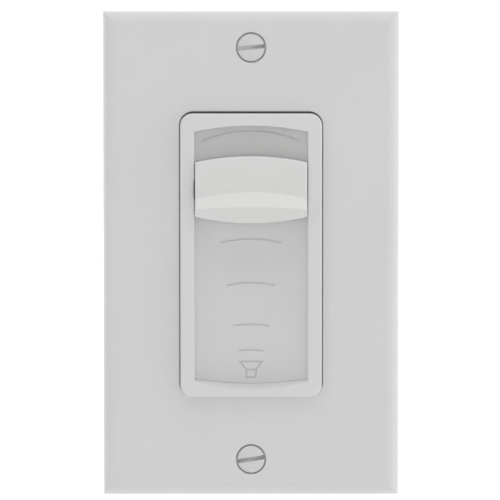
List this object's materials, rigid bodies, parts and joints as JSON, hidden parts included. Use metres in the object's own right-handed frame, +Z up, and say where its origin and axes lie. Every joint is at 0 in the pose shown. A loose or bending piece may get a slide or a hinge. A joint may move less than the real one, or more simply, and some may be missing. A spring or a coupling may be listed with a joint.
{
  "type": "in-wall slide volume control",
  "caption": "White in-wall slide control with a ridged slider in a curved recess, engraved level marks, a screwed wall plate, twin transformers and plug-in screw terminals behind.",
  "frame": {"origin": "midway between the two box screws, in the plane of the wall's face, which is also the rear plane of the steel yoke and of the wall plate's rim", "axes": "+Z up along the slider's travel, +Y into the wall, -Y towards the room, +X to the right as seen from the room"},
  "size_m": [0.0698, 0.0722, 0.1142],
  "materials": {
    "plate_white": "semi-gloss moulded thermoplastic with a very fine texture",
    "bezel_white": "satin moulded ABS",
    "scale_white": "satin moulded ABS with engraved marks",
    "knob_white": "satin moulded ABS, a little warmer than the bezel",
    "screw_white": "steel with baked white paint",
    "nylon_black": "black nylon",
    "zinc_steel": "zinc plated sheet steel",
    "zinc_screw": "bright zinc plated",
    "fibre_red": "vulcanised fibre",
    "housing_grey": "glass-filled nylon, satin",
    "rod_steel": "ground steel",
    "bush_acetal": "natural acetal",
    "spring_bronze": "phosphor bronze strip",
    "board_green": "glass-epoxy board with green solder mask",
    "contact_gold": "gold flashed copper",
    "core_steel": "laminated silicon steel, varnished edges",
    "bobbin_nylon": "natural glass-filled nylon",
    "winding_tape": "yellow polyester tape over enamelled wire",
    "tinned_copper": "tinned copper",
    "brass_nickel": "nickel plated brass",
    "terminal_green": "green polyamide",
    "header_black": "black glass-filled polyester",
    "shunt_blue": "blue polyester"
  },
  "bodies": {
    "control_frame": {"wall_plate": "plate_white", "plate_screw_upper": "screw_white", "plate_screw_lower": "screw_white", "bezel_frame": "bezel_white", "scale_panel": "scale_white", "yoke": "zinc_steel", "box_screw_upper": "zinc_screw", "box_screw_lower": "zinc_screw", "fibre_washers": "fibre_red", "switch_housing": "housing_grey", "guide_rod_left": "rod_steel", "guide_rod_right": "rod_steel", "detent_rack": "bush_acetal", "frame_screws": "zinc_screw", "contact_board": "board_green", "contact_pads_left": "contact_gold", "contact_pads_right": "contact_gold", "link_carrier": "header_black", "link_pins": "tinned_copper", "standoffs": "brass_nickel", "rear_board": "board_green", "rear_board_screws": "zinc_screw", "jumper_header_left": "header_black", "jumper_header_right": "header_black", "jumper_pins": "contact_gold", "core_upper": "core_steel", "bobbin_upper": "bobbin_nylon", "winding_upper": "winding_tape", "bobbin_pins_upper": "tinned_copper", "core_clip_upper": "zinc_steel", "core_lower": "core_steel", "bobbin_lower": "bobbin_nylon", "winding_lower": "winding_tape", "bobbin_pins_lower": "tinned_copper", "core_clip_lower": "zinc_steel", "input_header": "terminal_green", "input_header_pins": "tinned_copper", "output_header": "terminal_green", "output_header_pins": "tinned_copper"},
    "slider": {"slider_knob": "knob_white", "side_glide_pad": "nylon_black", "slider_carriage": "housing_grey", "carriage_bushes": "bush_acetal", "carriage_screws": "zinc_screw", "detent_spring": "spring_bronze", "wiper_left": "spring_bronze", "wiper_right": "spring_bronze", "wiper_rivets": "zinc_screw"},
    "input_plug_body": {"input_plug": "terminal_green", "input_clamp_cages": "brass_nickel", "input_clamp_screws": "zinc_screw"},
    "output_plug_body": {"output_plug": "terminal_green", "output_clamp_cages": "brass_nickel", "output_clamp_screws": "zinc_screw"},
    "shunt_left": {"jumper_shunt_left": "shunt_blue"},
    "shunt_right": {"jumper_shunt_right": "shunt_blue"}
  },
  "joints": [
    {"name": "slider_travel", "type": "slide", "parent": "control_frame", "child": "slider", "axis": [0, 0, 1], "range_m": [-0.0374, 0.0068], "deforming": ["detent_spring"]},
    {"name": "input_plug_pull", "type": "slide", "parent": "control_frame", "child": "input_plug_body", "axis": [0, 1, 0], "range_m": [0, 0.01]},
    {"name": "output_plug_pull", "type": "slide", "parent": "control_frame", "child": "output_plug_body", "axis": [0, 1, 0], "range_m": [0, 0.01]},
    {"name": "shunt_left_pull", "type": "slide", "parent": "control_frame", "child": "shunt_left", "axis": [0, 1, 0], "range_m": [0, 0.008]},
    {"name": "shunt_right_pull", "type": "slide", "parent": "control_frame", "child": "shunt_right", "axis": [0, 1, 0], "range_m": [0, 0.008]}
  ]
}
